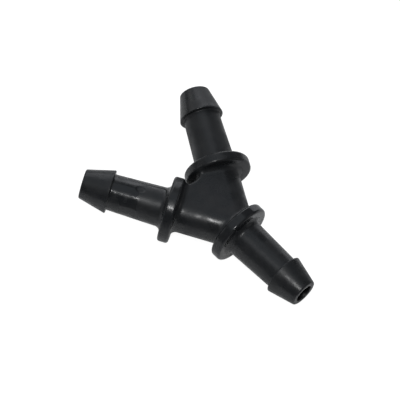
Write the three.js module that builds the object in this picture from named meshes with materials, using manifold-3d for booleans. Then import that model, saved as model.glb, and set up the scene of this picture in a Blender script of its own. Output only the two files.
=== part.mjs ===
// Barbed Y connector for 8 mm irrigation hose: a flat-sided hub, and three equal legs that each
// carry a stop collar, a tapered stem and one hose barb. The legs lie in one horizontal plane, with
// the inlet along -Y and the two arms towards +Y, and the fitting rests on the rims of its collars.
// The origin is at the bottom centre of its bounding box.

import * as THREE from "three";
import { mergeVertices } from "three/addons/utils/BufferGeometryUtils.js";
import Module from "manifold-3d";

// Driving dimensions, in millimetres and degrees.
const ARM_ANGLE = 30; // between each arm and the +Y axis
const HUB_REACH = 12.2; // from the point where the axes meet to an arm's collar
const CROTCH_REACH = 16.3; // from the same point to the centre of the round notch between the arms
const CROTCH_RADIUS = 4.4;
const BORE_DIAMETER = 4.0;
const COLLAR_DIAMETER = 13.6;
const COLLAR_THICKNESS = 2.3;
const STEM_ROOT_DIAMETER = 8.2; // at the collar, a light press in the hose
const STEM_NECK_DIAMETER = 7.5; // behind the barb
const STEM_LENGTH = 11.7;
const BARB_DIAMETER = 9.0;
const BARB_LENGTH = 6.0;
const TIP_DIAMETER = 6.2;
const FILLET_RADIUS = 1.2; // where a tube runs into a collar's face
const COLLAR_EDGE_RADIUS = 0.55;
const BARB_EDGE_RADIUS = 0.15;
const TIP_EDGE_RADIUS = 0.35;
const STOP_MARGIN = 0.1; // between the stem's fillet and the ring where the hose's end rests
const SEAM = 0.3; // left open between neighbouring sections

const SEGMENTS = 36; // round the axis of a turned section
const ARC_STEPS = 2; // in each eighth turn of a rounded edge
const QUARTER_TURN = Math.PI / 2;

const boreRadius = BORE_DIAMETER / 2;
const tubeRadius = STEM_ROOT_DIAMETER / 2;
const flareRadius = tubeRadius + FILLET_RADIUS;
const halfSeam = SEAM / 2;

// Each leg's turn from +Y about +Z, and the distance of its collar's hub side from the meeting point.
const LEGS = [
  { name: "inlet", turn: Math.PI, collarStart: 0 },
  { name: "left", turn: THREE.MathUtils.degToRad(ARM_ANGLE), collarStart: HUB_REACH },
  { name: "right", turn: THREE.MathUtils.degToRad(-ARM_ANGLE), collarStart: HUB_REACH },
];
const ARMS = LEGS.filter((leg) => leg.collarStart > 0);

const wasm = await Module();
wasm.setup();

// Turns a closed outline of (radius, distance along the axis) round the Y axis.
function turned(outline) {
  return new THREE.LatheGeometry(outline.closePath().getPoints(ARC_STEPS), SEGMENTS);
}

function solidOf(geometry) {
  const bare = geometry.clone();
  bare.deleteAttribute("normal");
  bare.deleteAttribute("uv");
  const merged = mergeVertices(bare);
  return new wasm.Manifold(
    new wasm.Mesh({
      numProp: 3,
      vertProperties: merged.attributes.position.array,
      triVerts: new Uint32Array(merged.index.array),
    }),
  );
}

function geometryOf(solid) {
  const { vertProperties, triVerts } = solid.getMesh();
  const geometry = new THREE.BufferGeometry();
  geometry.setAttribute("position", new THREE.BufferAttribute(vertProperties, 3));
  geometry.setIndex(new THREE.BufferAttribute(triVerts, 1));
  geometry.computeVertexNormals();
  return geometry;
}

// A round flange that stops the hose, with both rims rounded over. The far side is flat in two rings,
// and the outer one is clear of the stem's fillet.
function collarGeometry(start) {
  const near = start + halfSeam;
  const far = start + COLLAR_THICKNESS - halfSeam;
  const rim = COLLAR_DIAMETER / 2 - COLLAR_EDGE_RADIUS;
  const outline = new THREE.Shape();
  outline.moveTo(boreRadius, near);
  outline.lineTo(rim, near);
  outline.absarc(rim, near + COLLAR_EDGE_RADIUS, COLLAR_EDGE_RADIUS, -QUARTER_TURN, 0);
  outline.absarc(rim, far - COLLAR_EDGE_RADIUS, COLLAR_EDGE_RADIUS, 0, QUARTER_TURN);
  outline.lineTo(flareRadius + STOP_MARGIN, far);
  outline.lineTo(boreRadius, far);
  return turned(outline);
}

// A tube that flares into the collar's face and tapers towards the barb.
function stemGeometry(start) {
  const near = start + halfSeam;
  const far = start + STEM_LENGTH - halfSeam;
  const outline = new THREE.Shape();
  outline.moveTo(boreRadius, near);
  outline.lineTo(flareRadius, near);
  outline.absarc(flareRadius, near + FILLET_RADIUS, FILLET_RADIUS, -QUARTER_TURN, Math.PI, true);
  outline.lineTo(STEM_NECK_DIAMETER / 2, far);
  outline.lineTo(boreRadius, far);
  return turned(outline);
}

// One cone with a square shoulder towards the collar and a rounded lip at its tip.
function barbGeometry(start) {
  const near = start + halfSeam;
  const tip = start + BARB_LENGTH;
  const shoulder = BARB_DIAMETER / 2;
  const lip = TIP_DIAMETER / 2 - TIP_EDGE_RADIUS;
  const outline = new THREE.Shape();
  outline.moveTo(boreRadius, near);
  outline.lineTo(shoulder - BARB_EDGE_RADIUS, near);
  outline.lineTo(shoulder, near + BARB_EDGE_RADIUS);
  outline.absarc(lip, tip - TIP_EDGE_RADIUS, TIP_EDGE_RADIUS, 0, QUARTER_TURN);
  outline.lineTo(boreRadius, tip);
  return turned(outline);
}

// A solid rod of the hub, from one distance along a leg's axis to another, flared at its far end.
function flaredRod(leg, from, to) {
  const outline = new THREE.Shape();
  outline.moveTo(0, from);
  outline.lineTo(tubeRadius, from);
  outline.absarc(flareRadius, to - FILLET_RADIUS, FILLET_RADIUS, Math.PI, QUARTER_TURN, true);
  outline.lineTo(0, to);
  return solidOf(turned(outline).rotateZ(leg.turn));
}

function boreRod(leg, from, to) {
  const outline = new THREE.Shape();
  outline.moveTo(0, from);
  outline.lineTo(boreRadius, from);
  outline.lineTo(boreRadius, to);
  outline.lineTo(0, to);
  return solidOf(turned(outline).rotateZ(leg.turn));
}

// The flat-sided web that fills the V between the arms, as thick as the arms' tubes. A round notch
// ends it short of the point where the arms' collars nearly meet.
function webSolid() {
  const reach = HUB_REACH - halfSeam;
  const half = THREE.MathUtils.degToRad(ARM_ANGLE);
  const outline = new THREE.Shape();
  outline.moveTo(0, halfSeam);
  outline.lineTo(reach * Math.sin(half), reach * Math.cos(half));
  outline.lineTo(0, reach / Math.cos(half));
  outline.lineTo(-reach * Math.sin(half), reach * Math.cos(half));
  outline.closePath();
  const plate = new THREE.ExtrudeGeometry(outline, {
    depth: STEM_ROOT_DIAMETER,
    bevelEnabled: false,
  });
  plate.translate(0, 0, -tubeRadius);
  const notch = new THREE.CylinderGeometry(CROTCH_RADIUS, CROTCH_RADIUS, COLLAR_DIAMETER, SEGMENTS);
  notch.rotateX(QUARTER_TURN).translate(0, CROTCH_REACH, 0);
  return solidOf(plate).subtract(solidOf(notch));
}

function hubGeometry() {
  const reach = HUB_REACH - halfSeam;
  const overrun = STEM_ROOT_DIAMETER;
  const inlet = LEGS[0];
  let body = webSolid().add(flaredRod(inlet, -tubeRadius, -halfSeam));
  for (const arm of ARMS) body = body.add(flaredRod(arm, -tubeRadius, reach));
  for (const arm of ARMS) body = body.subtract(boreRod(arm, -tubeRadius, HUB_REACH));
  const behindInletFace = new THREE.BoxGeometry(2 * COLLAR_DIAMETER, overrun, COLLAR_DIAMETER);
  behindInletFace.translate(0, halfSeam - overrun / 2, 0);
  return geometryOf(body.subtract(solidOf(behindInletFace)));
}

// Every section has the same moulded black plastic.
function section(name, geometry) {
  const plastic = new THREE.MeshStandardMaterial({
    color: 0x2b2c2f,
    roughness: 0.42,
    metalness: 0,
  });
  const mesh = new THREE.Mesh(geometry, plastic);
  mesh.name = name;
  return mesh;
}

function legGroup({ name, turn, collarStart }) {
  const stemStart = collarStart + COLLAR_THICKNESS;
  const barbStart = stemStart + STEM_LENGTH;
  const leg = new THREE.Group();
  leg.add(section(`${name}_collar`, collarGeometry(collarStart)));
  leg.add(section(`${name}_stem`, stemGeometry(stemStart)));
  leg.add(section(`${name}_barb`, barbGeometry(barbStart)));
  leg.rotation.z = turn;
  return leg;
}

const fitting = new THREE.Group();
fitting.add(section("hub", hubGeometry()));
for (const leg of LEGS) fitting.add(legGroup(leg));

// Stand the fitting on its collars, with the middle of its footprint over the origin.
const extent = new THREE.Box3().setFromObject(fitting, true);
fitting.position.set(
  -(extent.min.x + extent.max.x) / 2,
  -(extent.min.y + extent.max.y) / 2,
  -extent.min.z,
);

const connector = new THREE.Group();
connector.add(fitting);

export default connector;
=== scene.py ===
"""A barbed Y connector for 8 mm irrigation hose, in semi-gloss black moulded plastic.

The real fitting is one moulding, so its ten sections meet without a seam: each finely modelled section
replaces the CAD node of the same name, and the hub and the stems run a little way into their neighbours.
The fitting's lengths are in millimetres until a mesh is made, and distances along a leg start where the
three axes meet. The camera, the lights and the paper are placed in metres.
"""

import math

import bpy
import numpy as np
from mathutils import Matrix, Vector


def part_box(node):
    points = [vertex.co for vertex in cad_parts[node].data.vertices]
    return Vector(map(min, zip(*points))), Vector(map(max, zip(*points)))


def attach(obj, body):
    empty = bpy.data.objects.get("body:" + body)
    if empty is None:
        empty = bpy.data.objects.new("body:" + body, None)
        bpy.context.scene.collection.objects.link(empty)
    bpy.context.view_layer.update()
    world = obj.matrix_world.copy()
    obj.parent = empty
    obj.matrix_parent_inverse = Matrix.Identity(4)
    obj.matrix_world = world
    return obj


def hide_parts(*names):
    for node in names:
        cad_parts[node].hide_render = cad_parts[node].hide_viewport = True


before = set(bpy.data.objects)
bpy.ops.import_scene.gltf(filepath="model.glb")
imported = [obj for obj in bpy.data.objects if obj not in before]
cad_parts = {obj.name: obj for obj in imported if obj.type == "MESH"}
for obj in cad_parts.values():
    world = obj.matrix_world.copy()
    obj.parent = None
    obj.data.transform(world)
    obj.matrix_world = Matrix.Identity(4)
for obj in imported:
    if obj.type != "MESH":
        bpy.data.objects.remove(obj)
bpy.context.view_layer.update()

MM = 0.001

# Driving dimensions, the same as the CAD model's.
ARM_ANGLE = math.radians(30)
HUB_REACH = 12.2
CROTCH_REACH = 16.3  # to the centre of the round notch between the arms
CROTCH_RADIUS = 4.4
BORE_RADIUS = 2.0
COLLAR_RADIUS = 6.8
COLLAR_THICKNESS = 2.3
STEM_ROOT_RADIUS = 4.1
STEM_NECK_RADIUS = 3.75
STEM_LENGTH = 11.7
BARB_RADIUS = 4.5
BARB_LENGTH = 6.0
TIP_RADIUS = 3.1
CAD_SEAM = 0.3

# Roundings, and the small marks that moulding leaves.
FILLET_RADIUS = 1.2
COLLAR_EDGE_RADIUS = 0.55
BARB_EDGE_RADIUS = 0.15
TIP_EDGE_RADIUS = 0.35
BORE_EDGE_RADIUS = 0.15
NECK_FILLET_RADIUS = 0.25  # where a stem runs into its barb's shoulder
WEB_EDGE_RADIUS = 0.4
EMBED = 0.25  # how far a stem runs into its neighbours
HUB_EMBED = 0.6  # how far the hub runs into the collars
SINK = 0.01  # how far a fillet's thin edge dips below the face it runs into
PARTING_HEIGHT = 0.02  # the ridge where the two halves of the mould met
PARTING_HALF_ANGLE = math.radians(1.1)
RIDGE_SPREAD = 0.6 * PARTING_HALF_ANGLE  # where a turned section's ridge is down to about a third

# The oval dent of an ejector pin on top of the left arm's stem.
PIN_MARK_REACH = 20.3  # from the junction, along the leg
PIN_MARK_ACROSS = 0.3  # how far it is from the middle of the stem's top
PIN_MARK_LENGTH = 2.2
PIN_MARK_WIDTH = 1.5
PIN_MARK_DEPTH = 0.1
PIN_MARK_WALL = 0.3  # the share of the dent, inwards from its edge, over which it deepens

# How finely the meshes are divided.
RING_SIDES = 144
HUB_MESH_STEP = 0.2
SLOPE_STEP = 0.002  # half the distance over which the hub's field is compared to find its slope
DISC_SIDES = 96

# Each leg's turn from +Y about +Z, and the distance of its collar's hub side from the junction.
LEGS = {
    "inlet": {"turn": math.pi, "collar_start": 0.0},
    "left": {"turn": ARM_ANGLE, "collar_start": HUB_REACH},
    "right": {"turn": -ARM_ANGLE, "collar_start": HUB_REACH},
}

# The point where the axes meet: on the inlet collar's hub side, at the height of the collars' centres.
collar_low, collar_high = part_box("inlet_collar")
JUNCTION = Vector((
    (collar_low.x + collar_high.x) / 2,
    collar_high.y + CAD_SEAM / 2 * MM,
    (collar_low.z + collar_high.z) / 2,
))


# ---------------------------------------------------------------- shapes

def arc(centre_radius, centre_distance, radius, start, end, steps=8):
    """Points of (radius, distance) on a circular arc; angles in degrees, 0 pointing away from the axis."""
    angles = np.radians(np.linspace(start, end, steps + 1))
    return [
        (centre_radius + radius * math.cos(a), centre_distance + radius * math.sin(a)) for a in angles
    ]


def straight(start, end, steps):
    """Points spaced evenly from start to end, without the two ends themselves."""
    shares = np.linspace(0, 1, steps + 1)[1:-1]
    return [tuple(np.array(start) * (1 - t) + np.array(end) * t) for t in shares]


def ring_angles():
    """Angles round a leg's axis, closer together at the two parting lines, where they are 0 and pi."""
    even = [2 * math.pi * i / RING_SIDES for i in range(RING_SIDES)]
    extra = [
        side + PARTING_HALF_ANGLE * share
        for side in (0, math.pi)
        for share in (-1.6, -1, -0.6, -0.3, 0.3, 0.6, 1, 1.6)
    ]
    return sorted({round(a % (2 * math.pi), 9) for a in even + extra})


def parting_ridge(angle):
    """Height of the parting line's ridge at an angle round the axis."""
    offset = (angle + math.pi / 2) % math.pi - math.pi / 2
    return PARTING_HEIGHT * math.exp(-((offset / RIDGE_SPREAD) ** 2))


def pin_mark(across, distance):
    """Depth of the ejector pin's dent at a place on top of a stem."""
    half_width, half_length = PIN_MARK_WIDTH / 2, PIN_MARK_LENGTH / 2
    reach = math.hypot((across - PIN_MARK_ACROSS) / half_width, (distance - PIN_MARK_REACH) / half_length)
    share = min(max((1 - reach) / PIN_MARK_WALL, 0), 1)
    return PIN_MARK_DEPTH * share * share * (3 - 2 * share)


def leg_matrix(leg):
    """From a leg's own millimetre space, its axis along +Y from the junction, to the frame in metres."""
    turn = Matrix.Rotation(LEGS[leg]["turn"], 4, "Z")
    return Matrix.Translation(JUNCTION) @ turn @ Matrix.Scale(MM, 4)


def new_piece(node, points, faces, matrix):
    """A smooth mesh that stands for a CAD node and rides with it."""
    mesh = bpy.data.meshes.new(node)
    mesh.from_pydata(points, [], faces)
    mesh.transform(matrix)
    mesh.polygons.foreach_set("use_smooth", [True] * len(mesh.polygons))
    mesh.validate()
    mesh.update()
    piece = bpy.data.objects.new(f"{node}_moulding", mesh)
    bpy.context.scene.collection.objects.link(piece)
    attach(piece, "root")
    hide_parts(node)
    return piece


def turned_piece(node, leg, outline, dent=None):
    """Turns a closed outline of (radius, distance) round a leg's axis, with the parting ridge outside.

    dent gives a mark's depth on top of the piece. Faces on the bore's wall take the second material, a
    darkened copy of the plastic that paints in the shade inside the bore.
    """
    angles = ring_angles()
    width = len(outline)
    points = []
    for angle in angles:
        ridge = parting_ridge(angle)
        for radius, distance in outline:
            if radius > BORE_RADIUS + BORE_EDGE_RADIUS:
                radius += ridge
                if dent is not None and math.sin(angle) < 0:
                    radius -= dent(radius * math.cos(angle), distance)
            points.append((radius * math.cos(angle), distance, -radius * math.sin(angle)))
    faces = []
    for i in range(len(angles)):
        here, there = i * width, (i + 1) % len(angles) * width
        for j in range(width):
            k = (j + 1) % width
            faces.append((here + j, here + k, there + k, there + j))
    piece = new_piece(node, points, faces, leg_matrix(leg))
    bore = [max(outline[j][0], outline[(j + 1) % width][0]) < BORE_RADIUS + SINK for j in range(width)]
    piece.data.polygons.foreach_set("material_index", [int(on) for on in bore] * len(angles))
    return piece


def make_collar(leg):
    start = LEGS[leg]["collar_start"]
    end = start + COLLAR_THICKNESS
    rim, edge = COLLAR_RADIUS - COLLAR_EDGE_RADIUS, COLLAR_EDGE_RADIUS
    outline = [(BORE_RADIUS, start)]
    outline += straight((BORE_RADIUS, start), (rim, start), steps=6)
    outline += arc(rim, start + edge, edge, -90, 0)
    outline += straight((COLLAR_RADIUS, start + edge), (COLLAR_RADIUS, end - edge), steps=4)
    outline += arc(rim, end - edge, edge, 0, 90)
    outline += straight((rim, end), (BORE_RADIUS, end), steps=6)
    outline.append((BORE_RADIUS, end))
    return turned_piece(f"{leg}_collar", leg, outline)


def make_stem(leg):
    start = LEGS[leg]["collar_start"] + COLLAR_THICKNESS
    end = start + STEM_LENGTH
    flare = STEM_ROOT_RADIUS + FILLET_RADIUS
    neck = STEM_NECK_RADIUS
    foot = start - SINK + FILLET_RADIUS
    outline = [(BORE_RADIUS, start - EMBED), (flare, start - EMBED)]
    outline += arc(flare, foot, FILLET_RADIUS, 270, 180, steps=14)
    outline += straight((STEM_ROOT_RADIUS, foot), (neck, end - NECK_FILLET_RADIUS), steps=72)
    outline += arc(neck + NECK_FILLET_RADIUS, end - NECK_FILLET_RADIUS + SINK, NECK_FILLET_RADIUS, 180, 90)
    outline += [(neck + NECK_FILLET_RADIUS, end + EMBED), (BORE_RADIUS, end + EMBED)]
    return turned_piece(f"{leg}_stem", leg, outline, pin_mark if leg == "left" else None)


def make_barb(leg):
    start = LEGS[leg]["collar_start"] + COLLAR_THICKNESS + STEM_LENGTH
    end = start + BARB_LENGTH
    slope = math.degrees(math.atan2(BARB_RADIUS - TIP_RADIUS, BARB_LENGTH))
    edge, lip, mouth = BARB_EDGE_RADIUS, TIP_EDGE_RADIUS, BORE_EDGE_RADIUS
    outline = [(BORE_RADIUS, start)]
    outline += straight((BORE_RADIUS, start), (BARB_RADIUS - edge, start), steps=4)
    outline += arc(BARB_RADIUS - edge, start + edge, edge, -90, slope, steps=6)
    shoulder = outline[-1]
    nose = arc(TIP_RADIUS - lip, end - lip, lip, slope, 90)
    outline += straight(shoulder, nose[0], steps=14)
    outline += nose
    outline += arc(BORE_RADIUS + mouth, end - mouth, mouth, 90, 180, steps=4)
    outline += straight((BORE_RADIUS, end - mouth), (BORE_RADIUS, start), steps=6)
    return turned_piece(f"{leg}_barb", leg, outline)


# ---------------------------------------------------------------- the hub, from its distance field

def along(points, leg):
    """How far each point lies along a leg's axis, and how far from that axis."""
    turn = LEGS[leg]["turn"]
    direction = np.array([-math.sin(turn), math.cos(turn), 0.0])
    distance = points @ direction
    return distance, np.linalg.norm(points - distance[:, None] * direction, axis=1)


def beside(points, leg):
    """How far each point lies outside the vertical plane through an arm's axis."""
    turn = LEGS[leg]["turn"]
    outward = np.array([math.cos(turn), math.sin(turn), 0.0]) * (-1 if turn > 0 else 1)
    return points @ outward


def filleted(a, b, radius):
    """Union of two solids with a round fillet where they meet."""
    corner = np.hypot(np.maximum(radius - a, 0), np.maximum(radius - b, 0))
    return np.maximum(radius, np.minimum(a, b)) - corner


def rounded(a, b, radius):
    """Intersection of two solids with a round edge where they meet."""
    corner = np.hypot(np.maximum(radius + a, 0), np.maximum(radius + b, 0))
    return np.minimum(-radius, np.maximum(a, b)) + corner


def collar_field(points, leg):
    """Distance to a collar with rounded rims, a hair smaller than the collar's own section."""
    distance, radius = along(points, leg)
    middle = LEGS[leg]["collar_start"] + COLLAR_THICKNESS / 2
    out = radius - COLLAR_RADIUS + COLLAR_EDGE_RADIUS
    up = np.abs(distance - middle) - COLLAR_THICKNESS / 2 + COLLAR_EDGE_RADIUS
    corner = np.hypot(np.maximum(out, 0), np.maximum(up, 0))
    return corner + np.minimum(np.maximum(out, up), 0) - COLLAR_EDGE_RADIUS + SINK


def hub_field(points):
    """Distance to the hub's surface, below zero inside it.

    The body is two tubes and a web, filleted into the three collars.
    """
    height = np.abs(points[:, 2]) - STEM_ROOT_RADIUS
    notch = CROTCH_RADIUS - np.hypot(points[:, 0], points[:, 1] - CROTCH_REACH)
    body = rounded(height, notch, WEB_EDGE_RADIUS)
    body = np.maximum(body, np.maximum(beside(points, "left"), beside(points, "right")))
    ridge = PARTING_HEIGHT * np.exp(-((points[:, 2] / (STEM_ROOT_RADIUS * PARTING_HALF_ANGLE)) ** 2))
    for arm in ("left", "right"):
        body = np.minimum(body, along(points, arm)[1] - STEM_ROOT_RADIUS - ridge)
    joined = body
    for leg in LEGS:
        joined = np.minimum(joined, filleted(body, collar_field(points, leg), FILLET_RADIUS))
    for leg, place in LEGS.items():
        distance, radius = along(points, leg)
        joined = np.maximum(joined, distance - place["collar_start"] - HUB_EMBED)
        if leg != "inlet":
            joined = np.maximum(joined, BORE_RADIUS - radius)
    return joined


def project(points, field, passes):
    """Moves points down the field's slope onto its zero surface."""
    least_steepness = 0.25
    for _ in range(passes):
        value = field(points)
        rises = [field(points + SLOPE_STEP * axis) - field(points - SLOPE_STEP * axis) for axis in np.eye(3)]
        slope = np.stack(rises, axis=1) / (2 * SLOPE_STEP)
        steepness = np.maximum((slope ** 2).sum(1), least_steepness)
        move = np.clip(value / steepness, -HUB_MESH_STEP, HUB_MESH_STEP)
        points = points - move[:, None] * slope
    return points


def surface_net(field, low, high, step):
    """Quads over the zero surface of a field, one vertex in each grid cell that the surface crosses."""
    axes = [np.arange(low[i], high[i] + step, step) for i in range(3)]
    shape = tuple(len(a) for a in axes)
    grid = np.stack(np.meshgrid(*axes, indexing="ij"), axis=-1).reshape(-1, 3)
    inside = (field(grid) < 0).reshape(shape)
    corners = np.zeros(tuple(n - 1 for n in shape), int)
    for dx in (0, 1):
        for dy in (0, 1):
            for dz in (0, 1):
                corners += inside[dx:shape[0] - 1 + dx, dy:shape[1] - 1 + dy, dz:shape[2] - 1 + dz]
    crossed = (corners > 0) & (corners < 8)
    number = np.full(crossed.shape, -1)
    number[crossed] = np.arange(crossed.sum())
    points = np.array(low) + step * (np.argwhere(crossed) + 0.5)
    faces = []
    for axis in range(3):
        u, v = (axis + 1) % 3, (axis + 2) % 3
        first = np.take(inside, range(shape[axis] - 1), axis)
        second = np.take(inside, range(1, shape[axis]), axis)
        for x, y, z in np.argwhere(first != second):
            here = np.array([x, y, z])
            if here[u] == 0 or here[v] == 0:
                continue
            back_u, back_v = np.eye(3, dtype=int)[u], np.eye(3, dtype=int)[v]
            ring = [here - back_u - back_v, here - back_v, here, here - back_u]
            quad = [int(number[tuple(cell)]) for cell in ring]
            faces.append(quad if first[x, y, z] else quad[::-1])
    return points, faces


def relaxed(points, faces, field, passes):
    """Evens the net out: each vertex moves to the middle of its neighbours, then back to the surface."""
    quads = np.array(faces)
    ends = np.concatenate([quads[:, [i, (i + 1) % 4]] for i in range(4)])
    for _ in range(passes):
        total = np.zeros_like(points)
        count = np.zeros(len(points))
        np.add.at(total, ends[:, 0], points[ends[:, 1]])
        np.add.at(total, ends[:, 1], points[ends[:, 0]])
        np.add.at(count, ends[:, 0], 1)
        np.add.at(count, ends[:, 1], 1)
        points = points + 0.5 * (total / count[:, None] - points)
        points = project(points, field, passes=2)
    return points


def make_hub():
    """Meshes the hub's field inside a box that holds the flares and a little of each collar."""
    reach = HUB_REACH + 2 * HUB_EMBED
    side = reach * math.sin(ARM_ANGLE) + COLLAR_RADIUS * math.cos(ARM_ANGLE)
    far = reach * math.cos(ARM_ANGLE) + COLLAR_RADIUS * math.sin(ARM_ANGLE)
    up = COLLAR_RADIUS + HUB_EMBED
    low, high = (-side, -2 * HUB_EMBED, -up), (side, far, up)
    points, faces = surface_net(hub_field, low, high, HUB_MESH_STEP)
    points = project(points, hub_field, passes=4)
    points = relaxed(points, faces, hub_field, passes=3)
    matrix = Matrix.Translation(JUNCTION) @ Matrix.Scale(MM, 4)
    return new_piece("hub", points.tolist(), faces, matrix)


# ---------------------------------------------------------------- material

# Linear colours of the plastic, and of the edges that handling has rubbed.
DARK_PLASTIC = (0.0165, 0.0185, 0.021)
PALE_PLASTIC = (0.024, 0.0255, 0.0275)
RUBBED_PLASTIC = (0.055, 0.056, 0.058)
PLASTIC_IOR = 1.5

# Noise cells in a metre, from the broad sink marks to the fine grain of the mould.
POLISH_CELLS = 260
RIPPLE_CELLS = 280
MOTTLE_CELLS = 320
SCUFF_CELLS = 900
WAVE_CELLS = 900
GRAIN_CELLS = 5200

# Heights of the relief in millimetres, and the change that scuffs make to the roughness.
RIPPLE_HEIGHT = 0.045
WAVE_HEIGHT = 0.012
GRAIN_HEIGHT = 0.004
SCUFF_CHANGE = 0.03

POLISH_NOISE = (0.4, 0.62)  # the noise between a well-polished patch and a dull one
RUBBED_POINTINESS = (0.53, 0.65)  # from a gentle edge to a sharp one
RUBBED_SHARE = 0.3


def moulded_plastic(name, smoothest, roughest, polish_at=0.752, ripple_at=1.162, darkness=1.0):
    """Black moulded plastic: faint mottling, uneven polish, sink ripples, fine grain and rubbed edges.

    smoothest and roughest are the roughness of the best and the worst polished patches. polish_at and
    ripple_at choose the stretch of noise that the patches and the ripples come from. darkness scales the
    colours down; below 1 it is painted shade.
    """
    material = bpy.data.materials.new(name)
    material.use_nodes = True
    nodes, links = material.node_tree.nodes, material.node_tree.links
    shader = nodes["Principled BSDF"]
    place = nodes.new("ShaderNodeTexCoord").outputs["Object"]

    def noise(cells_per_metre, detail, roughness, shift=0.0):
        shifted = nodes.new("ShaderNodeMapping")
        shifted.inputs["Location"].default_value = (shift, 0, 0)
        links.new(place, shifted.inputs["Vector"])
        node = nodes.new("ShaderNodeTexNoise")
        node.inputs["Scale"].default_value = cells_per_metre
        node.inputs["Detail"].default_value = detail
        node.inputs["Roughness"].default_value = roughness
        links.new(shifted.outputs["Vector"], node.inputs["Vector"])
        return node.outputs["Fac"]

    def spread(value, low, high, start=0.3, end=0.7):
        node = nodes.new("ShaderNodeMapRange")
        node.inputs["From Min"].default_value = start
        node.inputs["From Max"].default_value = end
        node.inputs["To Min"].default_value = low
        node.inputs["To Max"].default_value = high
        node.interpolation_type = "SMOOTHSTEP"
        links.new(value, node.inputs["Value"])
        return node.outputs["Result"]

    def summed(first, second):
        node = nodes.new("ShaderNodeMath")
        links.new(first, node.inputs[0])
        links.new(second, node.inputs[1])
        return node.outputs["Value"]

    def mixed(factor, first, second):
        node = nodes.new("ShaderNodeMix")
        node.data_type = "RGBA"
        # A colour mix takes its two colours at inputs 6 and 7 and gives its result at output 2.
        for socket, colour in ((node.inputs[6], first), (node.inputs[7], second)):
            if isinstance(colour, tuple):
                socket.default_value = (*(darkness * part for part in colour), 1)
            else:
                links.new(colour, socket)
        links.new(factor, node.inputs[0])
        return node.outputs[2]

    def bumped(height, millimetres, before=None):
        node = nodes.new("ShaderNodeBump")
        node.inputs["Strength"].default_value = 1
        node.inputs["Distance"].default_value = millimetres * MM
        links.new(height, node.inputs["Height"])
        if before is not None:
            links.new(before, node.inputs["Normal"])
        return node.outputs["Normal"]

    mottle = spread(noise(MOTTLE_CELLS, detail=3, roughness=0.55), 0, 1)
    plastic = mixed(mottle, DARK_PLASTIC, PALE_PLASTIC)
    pointiness = nodes.new("ShaderNodeNewGeometry").outputs["Pointiness"]
    rubbed = spread(pointiness, 0, RUBBED_SHARE, *RUBBED_POINTINESS)
    links.new(mixed(rubbed, plastic, RUBBED_PLASTIC), shader.inputs["Base Color"])
    patches = noise(POLISH_CELLS, detail=1, roughness=0.5, shift=polish_at)
    polish = spread(patches, smoothest, roughest, *POLISH_NOISE)
    scuffs = spread(noise(SCUFF_CELLS, detail=3, roughness=0.6), -SCUFF_CHANGE, SCUFF_CHANGE)
    links.new(summed(polish, scuffs), shader.inputs["Roughness"])
    ripples = bumped(noise(RIPPLE_CELLS, detail=1, roughness=0.5, shift=ripple_at), RIPPLE_HEIGHT)
    waves = bumped(noise(WAVE_CELLS, detail=2, roughness=0.5), WAVE_HEIGHT, ripples)
    relief = bumped(noise(GRAIN_CELLS, detail=3, roughness=0.6), GRAIN_HEIGHT, waves)
    links.new(relief, shader.inputs["Normal"])
    shader.inputs["IOR"].default_value = PLASTIC_IOR
    return material


def make_finishes():
    """The same plastic as each part of the mould leaves it, by piece or by kind of section."""
    polished = moulded_plastic("polished_plastic", 0.24, 0.37)
    return {
        "hub": moulded_plastic("hub_plastic", 0.27, 0.5, polish_at=-1.462, ripple_at=-2.076),
        "inlet_collar": moulded_plastic("glossy_plastic", 0.1, 0.22),
        "inlet_stem": polished,
        "left_stem": moulded_plastic("marked_plastic", 0.15, 0.42, polish_at=0.249, ripple_at=-0.347),
        "right_stem": moulded_plastic("smooth_plastic", 0.36, 0.5),
        "collar": polished,
        "barb": moulded_plastic("worn_plastic", 0.28, 0.42),
    }


# ---------------------------------------------------------------- stage, light and camera

CAMERA_AZIMUTH = math.radians(-56.1)
CAMERA_ELEVATION = math.radians(60.3)
CAMERA_ROLL = math.radians(13.0)
CAMERA_DISTANCE = 1.058
CAMERA_LENS = 461.7
AIM = JUNCTION + MM * Vector((-1.15, 8.8, 0))

LIGHT_DISTANCE = 1.2
WHITE = (1, 1, 1)
COOL = (0.97, 0.99, 1.04)
SKY = (0.9, 0.99, 1.09)
WORLD_STRENGTH = 0.07

# The paper: its flat middle, the bend at its edge, and the small disc that the plastic reflects.
BACKDROP_RADIUS = 1.6
BACKDROP_BEND = 0.8
BACKDROP_TOP = 4.0
PAPER_RADIUS = 0.1
PAPER_HEIGHT = -0.0002


def direction(azimuth, elevation):
    """The way from the object to something at an azimuth, 0 in front at -Y, and an elevation."""
    level = math.cos(elevation)
    return Vector((math.sin(azimuth) * level, -math.cos(azimuth) * level, math.sin(elevation)))


def facing(location, target, roll=0.0):
    """A placement that looks from location at target, rolled anticlockwise as seen from behind it."""
    look = (target - location).to_track_quat("-Z", "Y").to_matrix().to_4x4()
    return Matrix.Translation(location) @ look @ Matrix.Rotation(roll, 4, "Z")


def make_camera():
    """The camera at the photo's angle."""
    data = bpy.data.cameras.new("camera")
    data.lens = CAMERA_LENS
    data.sensor_width = 36
    camera = bpy.data.objects.new("camera", data)
    location = AIM + CAMERA_DISTANCE * direction(CAMERA_AZIMUTH, CAMERA_ELEVATION)
    camera.matrix_world = facing(location, AIM, CAMERA_ROLL)
    bpy.context.scene.collection.objects.link(camera)
    bpy.context.scene.camera = camera


def soft_panel(name, azimuth, elevation, size, watts, colour=WHITE):
    """A round lamp that faces the fitting from an azimuth and an elevation in degrees."""
    data = bpy.data.lights.new(name, "AREA")
    data.color = colour
    data.shape = "DISK"
    data.size = size
    data.energy = watts
    panel = bpy.data.objects.new(name, data)
    panel.visible_camera = False
    location = AIM + LIGHT_DISTANCE * direction(math.radians(azimuth), math.radians(elevation))
    panel.matrix_world = facing(location, AIM)
    bpy.context.scene.collection.objects.link(panel)


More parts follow.
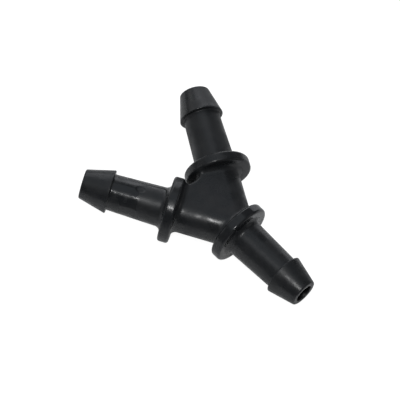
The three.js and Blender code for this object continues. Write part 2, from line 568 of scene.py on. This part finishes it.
def make_lights():
    """One small key near the camera, and broad dim panels that stand for a room with a cool window."""
    soft_panel("key", azimuth=-61.5, elevation=68, size=0.11, watts=3.2)
    soft_panel("window", azimuth=130, elevation=18, size=0.62, watts=1.35, colour=COOL)
    soft_panel("window_low", azimuth=109, elevation=3, size=0.62, watts=0.8, colour=COOL)
    soft_panel("window_high", azimuth=148, elevation=37, size=0.62, watts=0.95, colour=COOL)
    soft_panel("side", azimuth=182, elevation=24, size=0.62, watts=0.65)
    soft_panel("side_low", azimuth=228, elevation=22, size=0.7, watts=0.5)
    soft_panel("overhead", azimuth=190, elevation=78, size=1.5, watts=1.85, colour=SKY)
    soft_panel("front_right", azimuth=45, elevation=22, size=0.62, watts=0.3)


def paper_material(name, whiteness, glow):
    """Dull paper that gives off light of its own, which stands for paper under a broad light."""
    material = bpy.data.materials.new(name)
    material.use_nodes = True
    shader = material.node_tree.nodes["Principled BSDF"]
    shader.inputs["Base Color"].default_value = (whiteness, whiteness, whiteness, 1)
    shader.inputs["Roughness"].default_value = 0.9
    shader.inputs["Specular IOR Level"].default_value = 0
    shader.inputs["Emission Color"].default_value = (*WHITE, 1)
    shader.inputs["Emission Strength"].default_value = glow
    return material


def disc_angles():
    return [2 * math.pi * i / DISC_SIDES for i in range(DISC_SIDES)]


def make_backdrop():
    """White paper that runs flat under the fitting and curves up all round. Only the camera sees it."""
    flat, bend = BACKDROP_RADIUS, BACKDROP_BEND
    profile = [(0.0, 0.0), (flat, 0.0)]
    for turn in np.linspace(0.1, math.pi / 2, 12):
        profile.append((flat + bend * math.sin(turn), bend - bend * math.cos(turn)))
    profile.append((flat + bend, BACKDROP_TOP))
    points = [
        (radius * math.cos(turn), radius * math.sin(turn), height)
        for turn in disc_angles()
        for radius, height in profile
    ]
    width = len(profile)
    faces = []
    for i in range(DISC_SIDES):
        here, there = i * width, (i + 1) % DISC_SIDES * width
        faces += [(here + j, there + j, there + j + 1, here + j + 1) for j in range(width - 1)]
    mesh = bpy.data.meshes.new("backdrop")
    mesh.from_pydata(points, [], faces)
    backdrop = bpy.data.objects.new("backdrop", mesh)
    bpy.context.scene.collection.objects.link(backdrop)
    mesh.materials.append(paper_material("glowing_paper", whiteness=0.3, glow=0.97))
    backdrop.visible_diffuse = False
    backdrop.visible_glossy = False
    backdrop.visible_shadow = False


def make_paper():
    """The white paper close to the fitting, which the plastic reflects. The camera does not see it."""
    rim = [(PAPER_RADIUS * math.cos(t), PAPER_RADIUS * math.sin(t), PAPER_HEIGHT) for t in disc_angles()]
    mesh = bpy.data.meshes.new("paper")
    mesh.from_pydata(rim, [], [tuple(range(DISC_SIDES))])
    paper = bpy.data.objects.new("paper", mesh)
    bpy.context.scene.collection.objects.link(paper)
    mesh.materials.append(paper_material("lit_paper", whiteness=0.88, glow=0.17))
    paper.visible_camera = False


def make_world():
    """A faint even light from all round."""
    world = bpy.data.worlds.new("studio")
    world.use_nodes = True
    background = world.node_tree.nodes["Background"]
    background.inputs["Color"].default_value = (*WHITE, 1)
    background.inputs["Strength"].default_value = WORLD_STRENGTH
    bpy.context.scene.world = world


# ---------------------------------------------------------------- the scene

pieces = {"hub": make_hub()}
for leg in LEGS:
    pieces[f"{leg}_collar"] = make_collar(leg)
    pieces[f"{leg}_stem"] = make_stem(leg)
    pieces[f"{leg}_barb"] = make_barb(leg)

finishes = make_finishes()
# Painted shade: the bore's wall is the same plastic darkened to about a third, for the shade deep in the
# bore.
shaded_bore_finish = moulded_plastic("bore_plastic_painted_shade", 0.3, 0.4, darkness=0.35)
for name, piece in pieces.items():
    section = name.split("_")[-1]
    piece.data.materials.append(finishes.get(name) or finishes[section])
    piece.data.materials.append(shaded_bore_finish)

make_backdrop()
make_paper()
make_world()
make_camera()
make_lights()
bpy.context.scene.view_settings.view_transform = "Standard"
